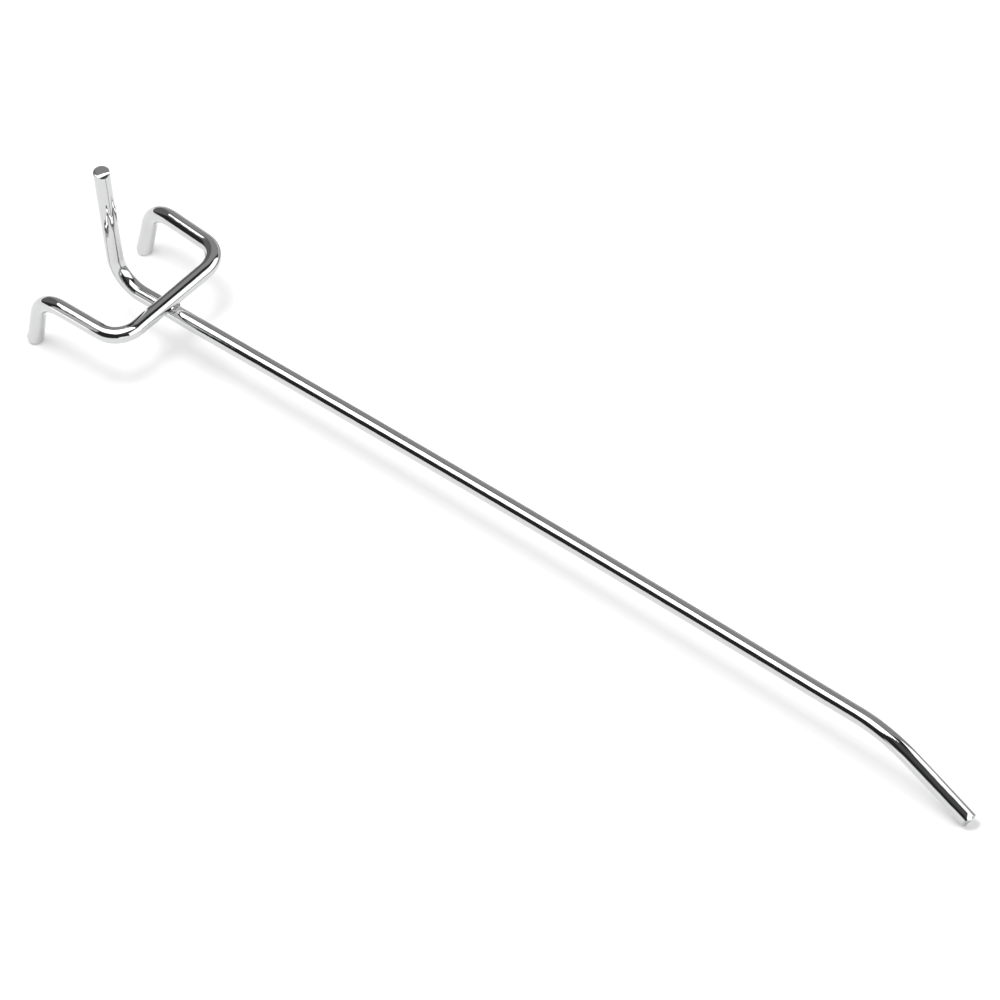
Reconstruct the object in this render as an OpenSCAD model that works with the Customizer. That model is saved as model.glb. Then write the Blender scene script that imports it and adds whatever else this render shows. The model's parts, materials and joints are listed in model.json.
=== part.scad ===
// Welded wire hook for a perforated board, lying upside down as it rests on a table.
// Z is up from the table, X runs along the arm towards its tip, Y runs across the two pegs.
// In use the hook is turned over: the pegs go through two holes and turn up behind the board.

/* [Wire] */

// Diameter of the round wire
wire_d = 3.5; // [2.5:0.1:5]
// Length from the back of the pegs to the front of the tip
overall_length = 250; // [80:5:350]

/* [Bracket] */

// Distance between the two pegs, which is the spacing of the holes in the board
peg_spacing = 32; // [25:1:50]
// Length of a side leg, from the crossbar to the bend of the peg
leg_length = 23; // [22:0.5:34]
// Length of a peg, from the corner of its bend to its end
peg_length = 15.6; // [13:0.1:22]
// Lean of a peg away from square with its leg, in degrees
peg_lean = 18; // [0:1:22]
// Bend radius of the peg, at the middle of the wire
peg_bend_r = 9; // [5:0.5:9]
// Bend radius of the crossbar's corners, at the middle of the wire
corner_bend_r = 6.5; // [5:0.5:9]

/* [Arm] */

// Angle by which the tip bends off the arm, in degrees
tip_angle = 33; // [20:1:40]
// Length of the tip, from the corner of its bend to its end
tip_length = 24.2; // [20:0.2:34]
// Bend radius of the tip, at the middle of the wire
tip_bend_r = 24; // [15:1:45]
// Distance of the arm from the middle of the crossbar
arm_offset = 0.6; // [0:0.1:3]

/* [Tail] */

// Distance from the pegs forward to the tail, between which the board sits
board_gap = 7; // [5.5:0.5:9]
// Angle by which the tail bends off the arm, in degrees
tail_angle = 94; // [75:1:100]
// Length of the tail, from the corner of its bend to its end
tail_length = 32; // [20:0.2:45]
// Bend radius of the tail, at the middle of the wire
tail_bend_r = 6; // [4:0.5:7]

/* [Weld] */

// How far crossbar and arm are pressed into each other
set_down = 0.2; // [0.1:0.05:0.4]
// Radius of the collar of metal squeezed out around the crossing
weld_r = 2.5; // [2.3:0.1:3.2]
// Thickness of the collar, whose rim is round
weld_h = 1.2; // [1:0.1:1.8]

/* [Cut ends] */

// Chamfer round each cut end
end_chamfer = 0.3; // [0.1:0.05:0.5]
// Slope of the sheared part of a cut end, in degrees
shear_slope = 36; // [20:1:45]
// Distance of the sheared part from the middle of the wire, as a share of its radius
shear_start = 0.4; // [0.2:0.05:0.7]

/* [Hidden] */

$fn = 64;

wire_r = wire_d / 2;
half_spacing = peg_spacing / 2;
half_turn = 180;
quarter_turn = 90;

// The crossbar lies on the arm and is pressed into it.
bar_z = wire_d - set_down;
arm_y = -arm_offset;

// The tail's bend has its corner this far behind the crossbar.
tail_setback = leg_length - board_gap;

// How much straight wire each bend takes on both sides of its corner.
peg_turn = quarter_turn - peg_lean;
peg_tangent = peg_bend_r * tan(peg_turn / 2);
corner_tangent = corner_bend_r * tan(quarter_turn / 2);
tip_tangent = tip_bend_r * tan(tip_angle / 2);
tail_tangent = tail_bend_r * tan(tail_angle / 2);

// Middle of the pegs' ends, before the hook is tipped to rest.
peg_end_x = -leg_length - peg_length * sin(peg_lean);
peg_end_z = bar_z - peg_length * cos(peg_lean);
rear_x = peg_end_x + end_chamfer * sin(peg_lean) - wire_r * cos(peg_lean);

// The arm is as long as the stated overall length leaves.
end_r = wire_r - end_chamfer;
tip_end_x = rear_x + overall_length - end_r * sin(tip_angle);
tip_end_z = -tip_length * sin(tip_angle);
tip_corner_x = tip_end_x - tip_length * cos(tip_angle);
tail_start_x = tail_tangent - tail_setback;
arm_straight = tip_corner_x - tip_tangent - tail_start_x;

// Heights of the lowest points of pegs and tip when the hook is tipped by an angle.
function peg_low(tip) = peg_end_z * cos(tip) - peg_end_x * sin(tip)
    - end_r * sin(peg_lean + tip);
function tip_low(tip) = tip_end_z * cos(tip) - tip_end_x * sin(tip)
    + end_chamfer * sin(tip_angle + tip) - wire_r * cos(tip_angle + tip);

// The hook is tipped until its two pegs and its tip touch the table together.
span_x = tip_end_x - peg_end_x;
first_tilt = atan((tip_low(0) - peg_low(0)) / span_x);
rest_tilt = first_tilt + atan((tip_low(first_tilt) - peg_low(first_tilt)) / span_x);
lift = -peg_low(rest_tilt);
rear_rest_x = peg_end_x * cos(rest_tilt) + peg_end_z * sin(rest_tilt)
    + end_chamfer * sin(peg_lean + rest_tilt) - wire_r * cos(peg_lean + rest_tilt);
front_rest_x = tip_end_x * cos(rest_tilt) + tip_end_z * sin(rest_tilt)
    + end_r * sin(tip_angle + rest_tilt);
middle_x = (rear_rest_x + front_rest_x) / 2;

// Directions in which the sheared part of each end faces, round the wire.
peg_shear_spin = 225;
tip_shear_spin = 215;
tail_shear_spin = 342;
cut_size = 2 * wire_d;

// Bends are a hair thicker than straight stretches, and each stretch reaches a little into them.
swell = 0.005;
lap = 0.02;

// Half the length of arm that shapes the saddle under the crossbar.
saddle_reach = 2 * wire_d;

module resting() {
    translate([-middle_x, 0, lift])
        rotate([0, rest_tilt, 0])
            children();
}

module run(length) {
    translate([0, 0, -lap])
        cylinder(r = wire_r, h = length + 2 * lap);
    translate([0, 0, length])
        children();
}

module turn(radius, angle, roll = 0) {
    rotate([0, 0, roll])
        translate([radius, 0, 0]) {
            rotate([quarter_turn, 0, half_turn])
                rotate_extrude(angle = angle)
                    translate([radius, 0])
                        circle(r = wire_r + swell);
            rotate([0, angle, 0])
                translate([-radius, 0, 0])
                    children();
        }
}

// The last stretch of a wire, cut off with a small chamfer and a slanted sheared part.
module cut_end(length, spin) {
    difference() {
        union() {
            translate([0, 0, -lap])
                cylinder(r = wire_r, h = length - end_chamfer + lap);
            translate([0, 0, length - end_chamfer])
                cylinder(r1 = wire_r, r2 = end_r, h = end_chamfer);
        }
        rotate([0, 0, spin])
            translate([shear_start * wire_r, 0, length])
                rotate([0, shear_slope, 0])
                    translate([-wire_d / 2, -cut_size / 2, 0])
                        cube([cut_size, cut_size, cut_size]);
    }
}

module arm_straight_wire(from_x, length) {
    translate([from_x, arm_y, 0])
        rotate([0, quarter_turn, 0])
            cylinder(r = wire_r, h = length);
}

module crossbar() {
    bar_straight = peg_spacing - 2 * corner_tangent;
    translate([0, -bar_straight / 2, bar_z])
        rotate([-quarter_turn, 0, 0])
            run(bar_straight);
}

module bracket_side() {
    translate([0, half_spacing - corner_tangent, bar_z])
        rotate([-quarter_turn, 0, 0])
            turn(corner_bend_r, quarter_turn, half_turn)
                run(leg_length - corner_tangent - peg_tangent)
                    turn(peg_bend_r, peg_turn, -quarter_turn)
                        cut_end(peg_length - peg_tangent, peg_shear_spin);
}

module arm_wire() {
    color([0.77, 0.78, 0.80])
        resting()
            translate([tail_start_x, arm_y, 0]) {
                rotate([0, quarter_turn, 0])
                    run(arm_straight)
                        turn(tip_bend_r, tip_angle)
                            cut_end(tip_length - tip_tangent, tip_shear_spin);
                rotate([0, -quarter_turn, 0])
                    turn(tail_bend_r, tail_angle)
                        cut_end(tail_length - tail_tangent, tail_shear_spin);
            }
}

module bracket_wire() {
    color([0.74, 0.75, 0.77])
        resting()
            difference() {
                union() {
                    crossbar();
                    bracket_side();
                    mirror([0, 1, 0])
                        bracket_side();
                }
                arm_straight_wire(-saddle_reach, 2 * saddle_reach);
            }
}

module weld() {
    color([0.62, 0.63, 0.65])
        resting()
            difference() {
                translate([0, arm_y, bar_z / 2])
                    rotate_extrude() {
                        translate([0, -weld_h / 2])
                            square([weld_r - weld_h / 2, weld_h]);
                        intersection() {
                            translate([weld_r - weld_h / 2, 0])
                                circle(r = weld_h / 2);
                            translate([0, -weld_h / 2])
                                square([weld_r, weld_h]);
                        }
                    }
                arm_straight_wire(-saddle_reach, 2 * saddle_reach);
                translate([0, arm_y - saddle_reach, bar_z])
                    rotate([-quarter_turn, 0, 0])
                        cylinder(r = wire_r, h = 2 * saddle_reach);
            }
}

arm_wire();
bracket_wire();
weld();
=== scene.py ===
"""A chrome-plated wire hook for a perforated board, lying upside down on a white table.

The frame gives the places: the axes of the arm, the tip, the tail and the pegs come from
the record's mounts, and the crossbar's place from the bracket's box. The wires are swept
along those axes and their cut ends are sheared. The weld between them is a rounded collar.
A small studio gives the plating its bands of light and dark. All lengths are in metres.
"""

import json
import logging
import math
from dataclasses import dataclass
from enum import Enum

import bmesh
import bpy
from mathutils import Matrix, Vector


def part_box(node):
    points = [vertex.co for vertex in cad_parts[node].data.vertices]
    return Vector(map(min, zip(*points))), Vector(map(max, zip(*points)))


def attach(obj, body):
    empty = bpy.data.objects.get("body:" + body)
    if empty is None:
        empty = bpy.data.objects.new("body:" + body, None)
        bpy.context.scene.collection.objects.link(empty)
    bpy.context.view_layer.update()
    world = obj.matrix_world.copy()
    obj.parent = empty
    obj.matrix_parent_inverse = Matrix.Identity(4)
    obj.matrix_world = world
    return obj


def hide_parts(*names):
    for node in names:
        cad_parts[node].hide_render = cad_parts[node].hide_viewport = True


LOG = logging.getLogger("pegboard_hook")
MM = 0.001

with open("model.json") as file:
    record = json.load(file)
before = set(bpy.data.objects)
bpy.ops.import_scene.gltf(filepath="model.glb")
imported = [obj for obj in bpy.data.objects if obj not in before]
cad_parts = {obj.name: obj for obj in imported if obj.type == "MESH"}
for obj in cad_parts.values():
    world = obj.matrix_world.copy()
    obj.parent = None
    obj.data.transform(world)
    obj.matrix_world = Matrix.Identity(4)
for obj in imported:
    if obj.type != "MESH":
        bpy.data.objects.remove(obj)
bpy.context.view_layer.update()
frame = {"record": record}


def toward(azimuth: float, elevation: float) -> Vector:
    """Turns two angles into a direction.

    Args:
        azimuth: The turn round from +X, in degrees.
        elevation: The height above the horizon, in degrees.

    Returns:
        The direction, of length 1.
    """
    turn, rise = math.radians(azimuth), math.radians(elevation)
    return Vector((math.cos(turn) * math.cos(rise), math.sin(turn) * math.cos(rise), math.sin(rise)))


class Slot(Enum):
    """The names of the record's material slots."""

    WIRE = "chrome_wire"
    WELD = "weld_chrome"


@dataclass(frozen=True)
class Line:
    """A straight line through a point, in a direction of length 1.

    Args:
        point: A point on the line.
        direction: The way the line runs.
        length: The length of the straight wire that the line carries.
        radius: The radius of that wire.
    """

    point: Vector
    direction: Vector
    length: float = 0.0
    radius: float = 0.0

    @classmethod
    def of_mount(cls, name: str) -> "Line":
        """Reads the axis of one of the record's round mounts.

        Args:
            name: The mount's name.

        Returns:
            The mount's axis, with the length and radius of its straight wire.
        """
        mount = next(m for m in frame["record"]["mounts"] if m["name"] == name)
        dims = mount["dims"]
        return cls(
            Vector(mount["pos_m"]),
            Vector(mount["axis"]).normalized(),
            dims["length_mm"] * MM,
            dims["r_mm"] * MM,
        )

    def far_end(self, extra: float) -> Vector:
        """The end of the straight wire, moved on by extra."""
        return self.point + self.direction * (self.length / 2 + extra)

    def meet(self, other: "Line") -> Vector:
        """Finds where this line passes closest to another.

        Args:
            other: The other line.

        Returns:
            The point of this line that is nearest to the other.
        """
        gap = other.point - self.point
        along = self.direction.dot(other.direction)
        own = gap.dot(self.direction) - gap.dot(other.direction) * along
        return self.point + self.direction * (own / (1 - along * along))


@dataclass(frozen=True)
class CutEnd:
    """The end of a wire as a shear leaves it, after plating.

    Args:
        facing: The way the sheared slope faces, across the wire.
        slope: The slope's angle to the flat part of the end, in degrees.
        start: How far from the middle of the wire the slope begins, as a share of the radius.
        burr: How far the lip that the cutter drags out stands proud of the wire.
        burr_width: Half the angle round the wire that the lip takes, in degrees.
        burr_length: How far up the wire the lip reaches.
    """

    facing: Vector
    slope: float = 36.0
    start: float = 0.4
    burr: float = 0.0
    burr_width: float = 60.0
    burr_length: float = 1.6 * MM


@dataclass(frozen=True)
class ChromePlate:
    """Bright nickel and chrome plate on drawn wire.

    Args:
        name: The material's name.
        tint: The colour of what the plate reflects.
        smooth: The roughness where the plate is cleanest.
        dull: The roughness where it is worn by handling.
        handled: The number of handled places in a metre.
        worn: The values of their noise between which the plate turns dull.
        line_depth: The depth of the fine lines that drawing leaves along the wire.
        line_scale: The number of those lines in a metre along the wire and round it.
        wave_depth: The depth of the slow waves in the wire's surface.
        wave_scale: The number of slow waves in a metre.
    """

    name: str
    tint: tuple[float, float, float, float] = (0.585, 0.587, 0.591, 1.0)
    smooth: float = 0.045
    dull: float = 0.10
    handled: float = 90.0
    worn: tuple[float, float] = (0.45, 0.75)
    line_depth: float = 0.0012 * MM
    line_scale: tuple[float, float] = (60.0, 9000.0)
    wave_depth: float = 0.06 * MM
    wave_scale: float = 260.0

    def build(self) -> bpy.types.Material:
        """Makes the node tree.

        Returns:
            The finished material.
        """
        material = bpy.data.materials.new(self.name)
        material.use_nodes = True
        nodes = material.node_tree.nodes
        links = material.node_tree.links
        plate = nodes["Principled BSDF"]
        plate.inputs["Base Color"].default_value = self.tint
        plate.inputs["Metallic"].default_value = 1.0

        place = nodes.new("ShaderNodeTexCoord")
        handling = nodes.new("ShaderNodeTexNoise")
        handling.inputs["Scale"].default_value = self.handled
        handling.inputs["Detail"].default_value = 5.0
        links.new(place.outputs["Object"], handling.inputs["Vector"])
        spread = nodes.new("ShaderNodeMapRange")
        spread.inputs["From Min"].default_value = self.worn[0]
        spread.inputs["From Max"].default_value = self.worn[1]
        spread.inputs["To Min"].default_value = self.smooth
        spread.inputs["To Max"].default_value = self.dull
        links.new(handling.outputs["Fac"], spread.inputs["Value"])
        links.new(spread.outputs["Result"], plate.inputs["Roughness"])

        stretch = nodes.new("ShaderNodeMapping")
        stretch.inputs["Scale"].default_value = (*self.line_scale, 1.0)
        links.new(place.outputs["UV"], stretch.inputs["Vector"])
        lines = nodes.new("ShaderNodeTexNoise")
        lines.inputs["Scale"].default_value = 1.0
        lines.inputs["Detail"].default_value = 3.0
        links.new(stretch.outputs["Vector"], lines.inputs["Vector"])
        line_bump = nodes.new("ShaderNodeBump")
        line_bump.inputs["Distance"].default_value = self.line_depth
        links.new(lines.outputs["Fac"], line_bump.inputs["Height"])

        waves = nodes.new("ShaderNodeTexNoise")
        waves.inputs["Scale"].default_value = self.wave_scale
        waves.inputs["Detail"].default_value = 1.0
        links.new(place.outputs["Object"], waves.inputs["Vector"])
        wave_bump = nodes.new("ShaderNodeBump")
        wave_bump.inputs["Distance"].default_value = self.wave_depth
        links.new(waves.outputs["Fac"], wave_bump.inputs["Height"])
        links.new(line_bump.outputs["Normal"], wave_bump.inputs["Normal"])
        links.new(wave_bump.outputs["Normal"], plate.inputs["Normal"])
        return material


@dataclass(frozen=True)
class Table:
    """A white table that keeps the hook's shadow.

    Args:
        half: Half the table's side.
        paint: The table's own colour.
        glow: The white that it adds by itself near the hook, so that shadows stay pale.
        far_glow: The white that it adds where the lamps no longer reach.
        near: The distance from the hook's middle at which the glow starts to rise.
        far: The distance at which it has risen in full.
    """

    half: float = 20.0
    paint: float = 0.8
    glow: float = 0.22
    far_glow: float = 1.0
    near: float = 0.24
    far: float = 0.56

    def build(self) -> bpy.types.Object:
        """Makes the table top, level with the frame's floor.

        Returns:
            The table.
        """
        mesh = bpy.data.meshes.new("table")
        corners = [(-1, -1), (1, -1), (1, 1), (-1, 1)]
        mesh.from_pydata([(x * self.half, y * self.half, 0.0) for x, y in corners], [], [(0, 1, 2, 3)])
        table = bpy.data.objects.new("table", mesh)
        bpy.context.scene.collection.objects.link(table)
        mesh.materials.append(self.paper())
        return table

    def paper(self) -> bpy.types.Material:
        """Makes the table's white, part paint and part glow.

        Returns:
            The finished material.
        """
        material = bpy.data.materials.new("white_table")
        material.use_nodes = True
        nodes = material.node_tree.nodes
        links = material.node_tree.links
        nodes.clear()
        paint = nodes.new("ShaderNodeBsdfDiffuse")
        paint.inputs["Color"].default_value = (self.paint, self.paint, self.paint, 1.0)
        rays = nodes.new("ShaderNodeLightPath")
        seen = nodes.new("ShaderNodeMath")
        seen.operation = "MAXIMUM"
        links.new(rays.outputs["Is Camera Ray"], seen.inputs[0])
        links.new(rays.outputs["Is Glossy Ray"], seen.inputs[1])
        through = nodes.new("ShaderNodeMath")
        through.operation = "MAXIMUM"
        links.new(seen.outputs["Value"], through.inputs[0])
        links.new(rays.outputs["Is Transmission Ray"], through.inputs[1])
        place = nodes.new("ShaderNodeTexCoord")
        away = nodes.new("ShaderNodeVectorMath")
        away.operation = "LENGTH"
        links.new(place.outputs["Object"], away.inputs[0])
        level = nodes.new("ShaderNodeMapRange")
        level.interpolation_type = "SMOOTHSTEP"
        level.inputs["From Min"].default_value = self.near
        level.inputs["From Max"].default_value = self.far
        level.inputs["To Min"].default_value = self.glow
        level.inputs["To Max"].default_value = self.far_glow
        links.new(away.outputs["Value"], level.inputs["Value"])
        strength = nodes.new("ShaderNodeMath")
        strength.operation = "MULTIPLY"
        links.new(level.outputs["Result"], strength.inputs[1])
        links.new(through.outputs["Value"], strength.inputs[0])
        white = nodes.new("ShaderNodeEmission")
        links.new(strength.outputs["Value"], white.inputs["Strength"])
        both = nodes.new("ShaderNodeAddShader")
        links.new(paint.outputs["BSDF"], both.inputs[0])
        links.new(white.outputs["Emission"], both.inputs[1])
        out = nodes.new("ShaderNodeOutputMaterial")
        links.new(both.outputs["Shader"], out.inputs["Surface"])
        return material


@dataclass(frozen=True)
class Panel:
    """A flat studio lamp.

    Args:
        name: The lamp's name.
        centre: The middle of the panel.
        target: The point that the panel faces.
        width: The panel's longer side, which lies level.
        height: The panel's other side.
        radiance: How bright the panel looks, where 1 is white.
        tolerance: How far from straight down a panel may face and still have its width along X.
    """

    name: str
    centre: Vector
    target: Vector
    width: float
    height: float
    radiance: float
    tolerance: float = 1e-6

    def build(self) -> bpy.types.Object:
        """Makes the lamp, which the camera doesn't see.

        Returns:
            The lamp.
        """
        data = bpy.data.lights.new(self.name, "AREA")
        data.shape = "RECTANGLE"
        data.size = self.width
        data.size_y = self.height
        data.energy = self.radiance * math.pi * self.width * self.height
        lamp = bpy.data.objects.new(self.name, data)
        back = (self.centre - self.target).normalized()
        level = Vector((0, 0, 1)).cross(back)
        level = level.normalized() if level.length > self.tolerance else Vector((1, 0, 0))
        rise = back.cross(level)
        turn = Matrix((level, rise, back)).transposed()
        lamp.matrix_world = Matrix.Translation(self.centre) @ turn.to_4x4()
        lamp.visible_camera = False
        bpy.context.scene.collection.objects.link(lamp)
        return lamp


@dataclass(frozen=True)
class Overhead:
    """The large lamp over the hook, whose front corner is cut off towards the tip.

    Args:
        start: Where the lamp begins, along X.
        taper: Where its front edge begins to run back.
        finish: Where it ends in a point.
        front: Its front edge.
        back: Its back edge.
        height: How high it hangs.
        steps: The number of strips that make up the cut corner.
        radiance: How bright it looks.
    """

    start: float = -0.515
    taper: float = 0.045
    finish: float = 0.225
    front: float = -0.3225
    back: float = 0.1195
    height: float = 0.50
    steps: int = 6
    radiance: float = 2.7

    def strip(self, name: str, low: float, high: float, front: float) -> Panel:
        """Makes one strip that shines straight down.

        Args:
            name: The strip's name.
            low: Where it begins, along X.
            high: Where it ends.
            front: Its front edge.

        Returns:
            The strip.
        """
        x, y = (low + high) / 2, (front + self.back) / 2
        over, under = Vector((x, y, self.height)), Vector((x, y, 0.0))
        return Panel(name, over, under, high - low, self.back - front, self.radiance)

    def panels(self) -> list[Panel]:
        """Divides the lamp into strips.

        Returns:
            The full part first, then the strips of the cut corner.
        """
        step = (self.finish - self.taper) / self.steps
        strips = [self.strip("overhead", self.start, self.taper, self.front)]
        for k in range(self.steps):
            low = self.taper + k * step
            front = self.front + (self.back - self.front) * (k + 0.5) / self.steps
            strips.append(self.strip(f"overhead_{k + 1}", low, low + step, front))
        return strips


@dataclass(frozen=True)
class GreyCard:
    """A grey card that stands behind the hook, where only the plating sees it.

    Args:
        start: The foot of the card's end beside the bracket.
        finish: The foot of its other end.
        height: How high it stands.
        level: How bright it looks.
    """

    start: Vector = Vector((-0.26, 0.060, 0.0))
    finish: Vector = Vector((0.20, 0.014, 0.0))
    height: float = 0.013
    level: float = 0.42

    def build(self) -> bpy.types.Object:
        """Makes the card, which gives the plating its dim outer line.

        Returns:
            The card.
        """
        mesh = bpy.data.meshes.new("grey_card")
        rise = Vector((0.0, 0.0, self.height))
        mesh.from_pydata([self.start, self.finish, self.finish + rise, self.start + rise], [], [(0, 1, 2, 3)])
        material = bpy.data.materials.new("grey_card")
        material.use_nodes = True
        nodes = material.node_tree.nodes
        nodes.clear()
        grey = nodes.new("ShaderNodeEmission")
        grey.inputs["Strength"].default_value = self.level
        out = nodes.new("ShaderNodeOutputMaterial")
        material.node_tree.links.new(grey.outputs["Emission"], out.inputs["Surface"])
        mesh.materials.append(material)
        card = bpy.data.objects.new("grey_card", mesh)
        card.visible_camera = False
        card.visible_diffuse = False
        card.visible_shadow = False
        bpy.context.scene.collection.objects.link(card)
        return card


@dataclass(frozen=True)
class Patch:
    """A round patch of the room, paler than the dark.

    Args:
        azimuth: The direction of its middle, in degrees round from +X.
        elevation: The height of its middle above the horizon, in degrees.
        half: Half the angle across it, in degrees.
        fade: The angle over which it fades out, in degrees.
        level: How bright it looks.
    """

    azimuth: float
    elevation: float
    half: float
    fade: float
    level: float


@dataclass(frozen=True)
class Room:
    """The dark room round the table, with one pale wall.

    Args:
        dark: How bright the dark walls look.
        wall: How bright the pale wall looks.
        wall_middle: The direction of the pale wall's middle, in degrees round from +X.
        wall_half: Half the pale wall's angle, in degrees.
        wall_fade: The angle over which it fades out, in degrees.
        wall_top: The height at which the wall starts to fade, as the sine of its angle.
        top_fade: How much further up it has faded out.
        patches: What else in the room is paler than the dark.
    """

    dark: float = 0.04
    wall: float = 0.47
    wall_middle: float = 115.0
    wall_half: float = 29.0
    wall_fade: float = 8.0
    wall_top: float = 0.90
    top_fade: float = 0.05
    patches: tuple[Patch, ...] = (
        Patch(azimuth=-15.0, elevation=60.0, half=20.0, fade=14.0, level=0.13),
        Patch(azimuth=166.0, elevation=30.0, half=32.0, fade=8.0, level=0.22),
    )

    def build(self) -> bpy.types.World:
        """Makes the world: the room for reflections and light, white for the camera.

        Returns:
            The world, set on the scene.
        """
        world = bpy.data.worlds.new("room")
        bpy.context.scene.world = world
        world.use_nodes = True
        tree = world.node_tree
        nodes, links = tree.nodes, tree.links
        nodes.clear()
        place = nodes.new("ShaderNodeTexCoord")
        level = self.wall_level(tree, place.outputs["Generated"])
        for patch in self.patches:
            brighter = nodes.new("ShaderNodeMath")
            brighter.operation = "MAXIMUM"
            links.new(level, brighter.inputs[0])
            links.new(self.patch_level(tree, place.outputs["Generated"], patch), brighter.inputs[1])
            level = brighter.outputs["Value"]
        room = nodes.new("ShaderNodeBackground")
        links.new(level, room.inputs["Strength"])
        white = nodes.new("ShaderNodeBackground")
        white.inputs["Color"].default_value = (1.0, 1.0, 1.0, 1.0)
        white.inputs["Strength"].default_value = 1.0
        rays = nodes.new("ShaderNodeLightPath")
        mix = nodes.new("ShaderNodeMixShader")
        links.new(rays.outputs["Is Camera Ray"], mix.inputs["Fac"])
        links.new(room.outputs["Background"], mix.inputs[1])
        links.new(white.outputs["Background"], mix.inputs[2])
        out = nodes.new("ShaderNodeOutputWorld")
        links.new(mix.outputs["Shader"], out.inputs["Surface"])
        return world

    def fade(self, tree: bpy.types.NodeTree, value: bpy.types.NodeSocket, limits: tuple[float, float],
             levels: tuple[float, float]) -> bpy.types.NodeSocket:
        """Turns a value into a level, with a soft edge.

        Args:
            tree: The world's node tree.
            value: The value.
            limits: The values at which the edge begins and ends.
            levels: The levels there.

        Returns:
            The level.
        """
        edge = tree.nodes.new("ShaderNodeMapRange")
        edge.interpolation_type = "SMOOTHSTEP"
        edge.inputs["From Min"].default_value = limits[0]
        edge.inputs["From Max"].default_value = limits[1]
        edge.inputs["To Min"].default_value = levels[0]
        edge.inputs["To Max"].default_value = levels[1]
        tree.links.new(value, edge.inputs["Value"])
        return edge.outputs["Result"]

    def wall_level(self, tree: bpy.types.NodeTree, place: bpy.types.NodeSocket) -> bpy.types.NodeSocket:
        """Makes the dark room and its pale wall.

        Args:
            tree: The world's node tree.
            place: The direction looked at.

        Returns:
            How bright the room looks in that direction.
        """
        parts = tree.nodes.new("ShaderNodeSeparateXYZ")
        tree.links.new(place, parts.inputs["Vector"])
        flat = tree.nodes.new("ShaderNodeCombineXYZ")
        tree.links.new(parts.outputs["X"], flat.inputs["X"])
        tree.links.new(parts.outputs["Y"], flat.inputs["Y"])
        unit = tree.nodes.new("ShaderNodeVectorMath")
        unit.operation = "NORMALIZE"
        tree.links.new(flat.outputs["Vector"], unit.inputs[0])
        facing = tree.nodes.new("ShaderNodeVectorMath")
        facing.operation = "DOT_PRODUCT"
        facing.inputs[1].default_value = toward(self.wall_middle, 0.0)
        tree.links.new(unit.outputs["Vector"], facing.inputs[0])
        inner = math.cos(math.radians(self.wall_half))
        outer = math.cos(math.radians(self.wall_half + self.wall_fade))
        side = self.fade(tree, facing.outputs["Value"], (outer, inner), (0.0, self.wall - self.dark))
        top = self.fade(tree, parts.outputs["Z"], (self.wall_top, self.wall_top + self.top_fade), (1.0, 0.0))
        wall = tree.nodes.new("ShaderNodeMath")
        wall.operation = "MULTIPLY_ADD"
        tree.links.new(side, wall.inputs[0])
        tree.links.new(top, wall.inputs[1])
        wall.inputs[2].default_value = self.dark
        return wall.outputs["Value"]

    def patch_level(self, tree: bpy.types.NodeTree, place: bpy.types.NodeSocket,
                    patch: Patch) -> bpy.types.NodeSocket:
        """Makes one pale patch.

        Args:
            tree: The world's node tree.
            place: The direction looked at.
            patch: The patch.

        Returns:
            How bright the patch looks in that direction.
        """
        facing = tree.nodes.new("ShaderNodeVectorMath")
        facing.operation = "DOT_PRODUCT"
        facing.inputs[1].default_value = toward(patch.azimuth, patch.elevation)
        tree.links.new(place, facing.inputs[0])
        inner = math.cos(math.radians(patch.half))
        outer = math.cos(math.radians(patch.half + patch.fade))
        return self.fade(tree, facing.outputs["Value"], (outer, inner), (0.0, patch.level))


@dataclass(frozen=True)
class PhotoCamera:
    """The camera, at the photograph's viewing angle.

    Args:
        target: The point in the middle of the picture.
        azimuth: The camera's direction from the target, in degrees round from +X.
        elevation: Its height above the horizon, in degrees.
        roll: The turn of the picture about its middle, in degrees.
        distance: Its distance from the target.
        lens: The focal length in millimetres.
        sensor: The width of the sensor in millimetres.
        reach: The nearest and the farthest distance that it sees.
    """

    target: Vector = Vector((-3.126, 0.434, 12.5)) * MM
    azimuth: float = -38.404
    elevation: float = 44.949
    roll: float = -10.863
    distance: float = 2.40422
    lens: float = 432.0
    sensor: float = 36.0
    reach: tuple[float, float] = (0.05, 100.0)

    def build(self) -> bpy.types.Object:
        """Makes the camera and gives it to the scene.

        Returns:
            The camera.
        """
        back = toward(self.azimuth, self.elevation)
        level = Vector((0, 0, 1)).cross(back).normalized()
        up = back.cross(level)
        tilt = math.radians(self.roll)
        right = level * math.cos(tilt) + up * math.sin(tilt)
        up = back.cross(right)
        data = bpy.data.cameras.new("photo_camera")
        data.lens = self.lens
        data.sensor_width = self.sensor
        data.clip_start, data.clip_end = self.reach
        camera = bpy.data.objects.new("photo_camera", data)
        camera.matrix_world = Matrix.Translation(self.target + back * self.distance) @ (
            Matrix((right, up, back)).transposed().to_4x4()
        )
        bpy.context.scene.collection.objects.link(camera)
        bpy.context.scene.camera = camera
        return camera


@dataclass(frozen=True)
class Bend:
    """A corner of a wire's axis and the radius that it is bent to."""

    corner: Vector
    radius: float


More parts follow.
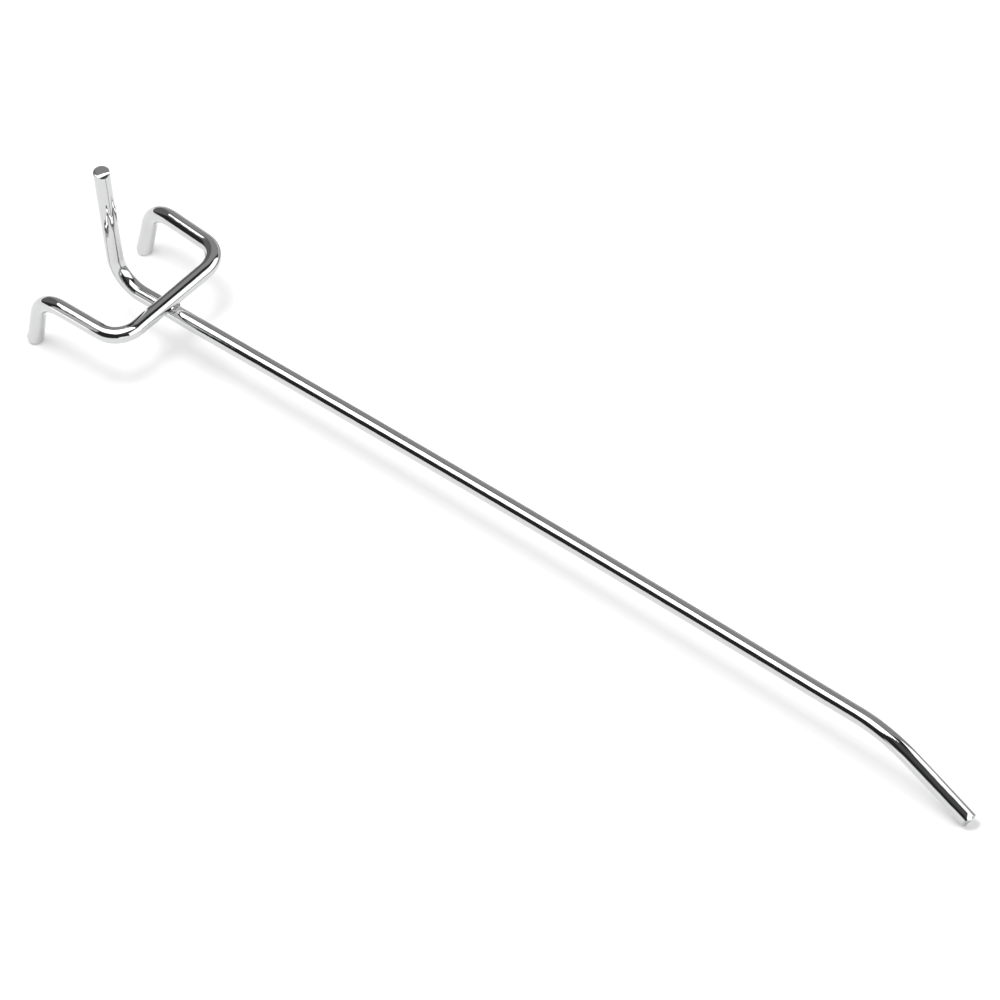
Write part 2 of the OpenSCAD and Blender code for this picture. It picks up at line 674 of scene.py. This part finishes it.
@dataclass
class Wire:
    """A round wire, swept along straight stretches and bends.

    Args:
        name: The piece's name.
        node: The CAD node that it stands for.
        start: The middle of the wire's first end.
        bends: The wire's bends in order.
        finish: The middle of the wire's other end.
        radius: The wire's radius.
        cuts: The slopes that are cut off its first end, and those off its last.
        sides: The number of faces round the wire.
        ring_step: The distance between rings on a straight stretch.
        bend_step: The angle between rings in a bend, in degrees.
        end_round: The radius of the rounded edge of its cut ends.
        end_steps: The number of steps in that rounding.
        sharp_angle: The angle between faces from which an edge stays sharp, in degrees.
        cut_reach: How far from an end its cuts reach, in wire radii.
    """

    name: str
    node: str
    start: Vector
    bends: list[Bend]
    finish: Vector
    radius: float
    cuts: tuple[tuple[CutEnd, ...], tuple[CutEnd, ...]]
    sides: int = 72
    ring_step: float = 1.5 * MM
    bend_step: float = 2.5
    end_round: float = 0.3 * MM
    end_steps: int = 5
    sharp_angle: float = 32.0
    cut_reach: float = 3.0

    def stretch(self, low: Vector, high: Vector) -> list[Vector]:
        """Divides a straight stretch.

        Args:
            low: Where the stretch begins.
            high: Where it ends.

        Returns:
            Points from low to just before high.
        """
        count = max(int((high - low).length / self.ring_step), 1)
        return [low.lerp(high, i / count) for i in range(count)]

    def axis(self) -> list[Vector]:
        """Follows the wire from end to end.

        Returns:
            The points of the wire's axis.
        """
        points: list[Vector] = []
        here = self.start
        corners = [self.start] + [b.corner for b in self.bends] + [self.finish]
        for i, bend in enumerate(self.bends):
            inward = (corners[i] - bend.corner).normalized()
            onward = (corners[i + 2] - bend.corner).normalized()
            turn = math.pi - inward.angle(onward)
            reach = bend.radius * math.tan(turn / 2)
            first = bend.corner + inward * reach
            points += self.stretch(here, first)
            centre = bend.corner + (inward + onward).normalized() * (bend.radius / math.cos(turn / 2))
            spoke = first - centre
            pivot = spoke.cross(-inward).normalized()
            by_angle = int(math.degrees(turn) / self.bend_step)
            by_length = int(turn * bend.radius / self.ring_step)
            count = max(by_angle, by_length, 4)
            points += [centre + Matrix.Rotation(turn * k / count, 3, pivot) @ spoke for k in range(count)]
            here = bend.corner + onward * reach
        points += self.stretch(here, self.finish)
        points.append(self.finish)
        return points

    def end_rings(self, way: Vector) -> list[tuple[Vector, float]]:
        """Rounds the edge of a cut end.

        Args:
            way: The direction out of the end.

        Returns:
            Offsets from the end's middle and radii, from the wire to the flat of the end.
        """
        rings = []
        for k in range(self.end_steps + 1):
            a = math.pi / 2 * k / self.end_steps
            back = self.end_round * (1 - math.sin(a))
            rings.append((way * -back, self.radius - self.end_round * (1 - math.cos(a))))
        return rings

    def middles(self, points: list[Vector]) -> list[tuple[Vector, Vector, float]]:
        """Places the rings of the wire's surface.

        Args:
            points: The points of the wire's axis.

        Returns:
            The middle, the direction and the radius of each ring.
        """
        first_way = (points[0] - points[1]).normalized()
        last_way = (points[-1] - points[-2]).normalized()
        middles = []
        for offset, radius in reversed(self.end_rings(first_way)):
            middles.append((points[0] + offset, -first_way, radius))
        for i in range(1, len(points) - 1):
            ahead = (points[i + 1] - points[i]).normalized()
            behind = (points[i] - points[i - 1]).normalized()
            middles.append((points[i], (ahead + behind).normalized(), self.radius))
        for offset, radius in self.end_rings(last_way):
            middles.append((points[-1] + offset, last_way, radius))
        return middles

    def rings(
        self, shape: bmesh.types.BMesh, middles: list[tuple[Vector, Vector, float]]
    ) -> list[list[bmesh.types.BMVert]]:
        """Makes the rings, without a twist from one to the next.

        Args:
            shape: The wire's mesh.
            middles: The middle, the direction and the radius of each ring.

        Returns:
            The points of each ring.
        """
        side = middles[0][1].orthogonal().normalized()
        rings = []
        previous = middles[0][1]
        for middle, way, radius in middles:
            side = previous.rotation_difference(way) @ side
            side = (side - way * side.dot(way)).normalized()
            over = way.cross(side)
            previous = way
            ring = []
            for j in range(self.sides):
                a = 2 * math.pi * j / self.sides
                spoke = side * math.cos(a) + over * math.sin(a)
                ring.append(shape.verts.new(middle + spoke * (radius + self.lip(middle, spoke))))
            rings.append(ring)
        return rings

    def skin(
        self, shape: bmesh.types.BMesh, rings: list[list[bmesh.types.BMVert]], along: list[float]
    ) -> None:
        """Joins the rings with faces, laid out by their place along and round the wire.

        Args:
            shape: The wire's mesh.
            rings: The points of each ring.
            along: The distance of each ring from the wire's first end.
        """
        uv = shape.loops.layers.uv["along_and_round"]
        girth = 2 * math.pi * self.radius
        for k in range(len(rings) - 1):
            for j in range(self.sides):
                n = (j + 1) % self.sides
                face = shape.faces.new((rings[k][j], rings[k][n], rings[k + 1][n], rings[k + 1][j]))
                face.smooth = True
                spots = ((k, j), (k, j + 1), (k + 1, j + 1), (k + 1, j))
                for loop, (row, column) in zip(face.loops, spots):
                    loop[uv].uv = (along[row], girth * column / self.sides)
        shape.faces.new(list(reversed(rings[0])))
        shape.faces.new(rings[-1])

    def build(self) -> bpy.types.Object:
        """Sweeps the wire, cuts its ends and puts it on the frame.

        Returns:
            The finished piece.
        """
        mesh = bpy.data.meshes.new(self.name)
        shape = bmesh.new()
        shape.loops.layers.uv.new("along_and_round")
        points = self.axis()
        middles = self.middles(points)
        along = [0.0]
        for (here, _, _), (there, _, _) in zip(middles, middles[1:]):
            along.append(along[-1] + (there - here).length)
        self.skin(shape, self.rings(shape, middles), along)
        for cut in self.cuts[0]:
            self.shear(shape, points[0], (points[0] - points[1]).normalized(), cut)
        for cut in self.cuts[1]:
            self.shear(shape, points[-1], (points[-1] - points[-2]).normalized(), cut)
        bmesh.ops.recalc_face_normals(shape, faces=shape.faces)
        shape.to_mesh(mesh)
        shape.free()
        mesh.set_sharp_from_angle(angle=math.radians(self.sharp_angle))
        piece = bpy.data.objects.new(self.name, mesh)
        bpy.context.scene.collection.objects.link(piece)
        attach(piece, "root")
        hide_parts(self.node)
        return piece

    def lip(self, middle: Vector, spoke: Vector) -> float:
        """Measures how far the cutter's lip stands out at one place of the surface.

        Args:
            middle: The place on the wire's axis.
            spoke: The direction from there to the surface.

        Returns:
            The lip's height, which is 0 away from the ends.
        """
        height = 0.0
        ends = [(self.start, c) for c in self.cuts[0]] + [(self.finish, c) for c in self.cuts[1]]
        for end, cut in ends:
            up_wire = (middle - end).length / cut.burr_length
            if cut.burr and up_wire < 1:
                round_wire = math.degrees(spoke.angle(cut.facing)) / cut.burr_width
                if round_wire < 1:
                    fade = math.cos(math.pi / 2 * round_wire) * (1 - up_wire) ** 2
                    height += cut.burr * fade
        return height

    def shear(self, shape: bmesh.types.BMesh, end: Vector, way: Vector, cut: CutEnd) -> None:
        """Slices the slope off a cut end.

        Args:
            shape: The wire's mesh.
            end: The middle of the end.
            way: The direction out of the end.
            cut: How the end is cut.
        """
        across = (cut.facing - way * cut.facing.dot(way)).normalized()
        slope = math.radians(cut.slope)
        normal = way * math.cos(slope) + across * math.sin(slope)
        point = end + across * (self.radius * cut.start)
        near = [v for v in shape.verts if (v.co - end).length < self.radius * self.cut_reach]
        edges = {e for v in near for e in v.link_edges}
        faces = {f for v in near for f in v.link_faces}
        made = bmesh.ops.bisect_plane(
            shape,
            geom=near + list(edges) + list(faces),
            plane_co=point,
            plane_no=normal,
            clear_outer=True,
        )
        rim = [e for e in made["geom_cut"] if isinstance(e, bmesh.types.BMEdge) and e.is_boundary]
        bmesh.ops.edgeloop_fill(shape, edges=rim)


@dataclass
class ArmWire:
    """The wire that is tail, arm and tip.

    Args:
        tail_bend: The bend radius between tail and arm.
        tip_bend: The bend radius between arm and tip.
        chamfer: What the record's straight stretches leave out at a cut end.
        tail_drift: How far the tail's bend has ended up from its place.
        tip_drift: How far the tip's bend has ended up from its place.
        bow: How far the middle of the arm stands out to one side.
        bow_share: The part of the arm's length, from its middle, that the bow takes each way.
        tail_cuts: The slopes that the shear left on the tail's end.
        tip_cuts: The slopes that it left on the tip's end.
    """

    tail_bend: float = 6.7 * MM
    tip_bend: float = 24.5 * MM
    chamfer: float = 0.3 * MM
    tail_drift: Vector = Vector((0.3, -0.4, 0.0)) * MM
    tip_drift: Vector = Vector((0.3, -0.4, 0.0)) * MM
    bow: float = 0.58 * MM
    bow_share: float = 0.45
    tail_cuts: tuple[CutEnd, ...] = (
        CutEnd(facing=Vector((0.949, -0.315, 0.0)), slope=23.0, start=0.37),
        CutEnd(facing=Vector((0.949, -0.315, 0.0)), slope=38.0, start=0.51),
    )
    tip_cuts: tuple[CutEnd, ...] = (
        CutEnd(facing=Vector((0.06, -1.0, 0.09)), slope=35.0, start=0.3),
        CutEnd(facing=Vector((0.52, -0.25, 0.82)), slope=66.0, start=0.80),
    )

    def bends(self) -> list[Bend]:
        """Places the tail's bend, the arm's slow bow and the tip's bend.

        Returns:
            The three bends in order.
        """
        arm = Line.of_mount("arm")
        tail_corner = Line.of_mount("tail").meet(arm) + self.tail_drift
        tip_corner = arm.meet(Line.of_mount("arm_tip")) + self.tip_drift
        middle = arm.point + self.tip_drift + Vector((0.0, 2 * self.bow, 0.0))
        half = self.bow_share * arm.length
        turn = 2 * math.atan(2 * self.bow / half)
        slow = Bend(middle, half / math.tan(turn / 2))
        return [Bend(tail_corner, self.tail_bend), slow, Bend(tip_corner, self.tip_bend)]

    def build(self) -> bpy.types.Object:
        """Sweeps the wire along the axes of the record's mounts.

        Returns:
            The finished piece.
        """
        return Wire(
            name="arm_wire_plated",
            node="arm_wire",
            start=Line.of_mount("tail").far_end(self.chamfer),
            bends=self.bends(),
            finish=Line.of_mount("arm_tip").far_end(self.chamfer),
            radius=Line.of_mount("arm").radius,
            cuts=(self.tail_cuts, self.tip_cuts),
        ).build()


@dataclass(frozen=True)
class Side:
    """One side of the bracket: a leg and its peg, as they came off the bender.

    Args:
        peg: The name of the peg's mount.
        peg_bend: The bend radius between leg and peg.
        corner_bend: The bend radius of the crossbar's corner.
        peg_drift: How far the peg's bend has ended up from its place.
        corner_drift: How far the crossbar's corner has ended up from its place.
        burr: The height of the lip on the peg's cut end.
        facing: The way the sheared slope of the peg's end faces.
    """

    peg: str
    peg_bend: float
    corner_bend: float
    peg_drift: Vector
    corner_drift: Vector
    burr: float
    facing: Vector


@dataclass
class BracketWire:
    """The wire that is crossbar, side legs and pegs.

    Args:
        near: The side with the peg towards the camera.
        far: The other side.
        chamfer: What the record's straight stretches leave out at a cut end.
    """

    near: Side = Side(
        peg="peg_near",
        peg_bend=8.3 * MM,
        corner_bend=5.3 * MM,
        peg_drift=Vector((0.2, 0.0, 0.0)) * MM,
        corner_drift=Vector((0.3, 0.2, 0.0)) * MM,
        burr=0.4 * MM,
        facing=Vector((-0.75, -0.66, 0.0)),
    )
    far: Side = Side(
        peg="peg_far",
        peg_bend=8.4 * MM,
        corner_bend=6.5 * MM,
        peg_drift=Vector((0.5, 0.7, 0.0)) * MM,
        corner_drift=Vector((-0.2, -0.7, 0.0)) * MM,
        burr=0.2 * MM,
        facing=Vector((-0.85, -0.5, 0.0)),
    )
    chamfer: float = 0.3 * MM

    def bends(self, side: Side) -> list[Bend]:
        """Places the two bends of one side.

        Args:
            side: The side.

        Returns:
            The peg's bend and the crossbar's corner.
        """
        peg = Line.of_mount(side.peg)
        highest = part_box("bracket_wire")[1]
        corner = Vector((highest.x - peg.radius, peg.point.y, highest.z - peg.radius))
        leg = Line(corner, Line.of_mount("arm").direction)
        return [
            Bend(leg.meet(peg) + side.peg_drift, side.peg_bend),
            Bend(corner + side.corner_drift, side.corner_bend),
        ]

    def build(self) -> bpy.types.Object:
        """Sweeps the wire from the near peg to the far one.

        Returns:
            The finished piece.
        """
        near = Line.of_mount(self.near.peg)
        far = Line.of_mount(self.far.peg)
        return Wire(
            name="bracket_wire_plated",
            node="bracket_wire",
            start=near.far_end(self.chamfer),
            bends=self.bends(self.near) + self.bends(self.far)[::-1],
            finish=far.far_end(self.chamfer),
            radius=near.radius,
            cuts=(
                (CutEnd(facing=self.near.facing, burr=self.near.burr),),
                (CutEnd(facing=self.far.facing, burr=self.far.burr),),
            ),
        ).build()


@dataclass
class Weld:
    """The metal that the spot weld squeezed out between the two wires.

    Args:
        reach: How far the metal stands out from the middle of the crossing.
        thick: How thick it is.
        drift: How far the crossing has ended up from its place.
        steps: The number of faces over its rim.
        sides: The number of faces round it.
    """

    reach: float = 2.0 * MM
    thick: float = 1.3 * MM
    drift: Vector = Vector((0.0, -0.4, 0.0)) * MM
    steps: int = 12
    sides: int = 64

    def middle(self) -> Vector:
        """Finds the middle of the crossing, halfway between the two wires.

        Returns:
            The point between crossbar and arm.
        """
        arm = Line.of_mount("arm")
        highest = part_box("bracket_wire")[1]
        bar_x = highest.x - arm.radius
        on_arm = arm.point + arm.direction * ((bar_x - arm.point.x) / arm.direction.x)
        bar_z = highest.z - arm.radius
        return Vector((bar_x, on_arm.y, (on_arm.z + bar_z) / 2)) + self.drift

    def build(self) -> bpy.types.Object:
        """Turns the rounded collar and puts it on the frame.

        Returns:
            The finished piece.
        """
        mesh = bpy.data.meshes.new("weld_plated")
        shape = bmesh.new()
        middle = self.middle()
        rings = []
        for k in range(1, self.steps):
            a = math.pi * (k / self.steps - 0.5)
            ring = []
            for j in range(self.sides):
                b = 2 * math.pi * j / self.sides
                out = self.reach * math.cos(a)
                spot = Vector((out * math.cos(b), out * math.sin(b), self.thick / 2 * math.sin(a)))
                ring.append(shape.verts.new(middle + spot))
            rings.append(ring)
        for low, high in zip(rings, rings[1:]):
            for j in range(self.sides):
                n = (j + 1) % self.sides
                shape.faces.new((low[j], low[n], high[n], high[j])).smooth = True
        shape.faces.new(list(reversed(rings[0])))
        shape.faces.new(rings[-1])
        bmesh.ops.recalc_face_normals(shape, faces=shape.faces)
        shape.to_mesh(mesh)
        shape.free()
        piece = bpy.data.objects.new("weld_plated", mesh)
        bpy.context.scene.collection.objects.link(piece)
        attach(piece, "root")
        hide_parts("weld")
        return piece


def lamps() -> list[Panel]:
    """Lists the studio's lamps.

    Returns:
        The lamp overhead, the tall one beside the tip, the small key that casts the shadow,
        and the two low ones that lighten the front of the tip and the crossbar's near corner.
    """
    return [
        *Overhead().panels(),
        Panel(
            name="beside",
            centre=Vector((0.545, 0.245, 0.325)),
            target=Vector((0.29, 0.087, 0.325)),
            width=1.452,
            height=0.65,
            radiance=1.85,
        ),
        Panel(
            name="key",
            centre=Vector((-0.02, -0.075, 0.495)),
            target=Vector((-0.02, -0.075, 0.0)),
            width=0.13,
            height=0.13,
            radiance=13.5,
        ),
        Panel(
            name="front_card",
            centre=Vector((0.19, -0.20, 0.034)),
            target=Vector((0.19, 0.0, 0.034)),
            width=0.26,
            height=0.068,
            radiance=1.05,
        ),
        Panel(
            name="corner_card",
            centre=Vector((-0.160, -0.080, 0.042)),
            target=Vector((-0.103, -0.010, 0.042)),
            width=0.021,
            height=0.08,
            radiance=0.66,
        ),
    ]


def main() -> None:
    """Builds the studio and the hook's pieces in order, and reports each."""
    logging.basicConfig(level=logging.INFO, format="%(message)s")
    bpy.context.scene.view_settings.view_transform = "Standard"
    PhotoCamera().build()
    Room().build()
    Table().build()
    GreyCard().build()
    for panel in lamps():
        lamp = panel.build()
        LOG.info("lamp %s at %s", lamp.name, tuple(round(v, 3) for v in lamp.location))

    plate = ChromePlate("bright_chrome").build()
    # The weld's darker tint is painted shade of the crossing between the two wires; its rougher, wavier
    # surface is the weld's own.
    weld_plate_and_crossing_shade = ChromePlate(
        "weld_chrome",
        tint=(0.34, 0.34, 0.345, 1.0),
        smooth=0.3,
        dull=0.45,
        wave_depth=0.2 * MM,
        wave_scale=700.0,
    ).build()
    for part, finish in ((ArmWire(), plate), (BracketWire(), plate), (Weld(), weld_plate_and_crossing_shade)):
        piece = part.build()
        piece.data.materials.append(finish)
        LOG.info("%s: %d faces", piece.name, len(piece.data.polygons))


if __name__ == "__main__":
    main()
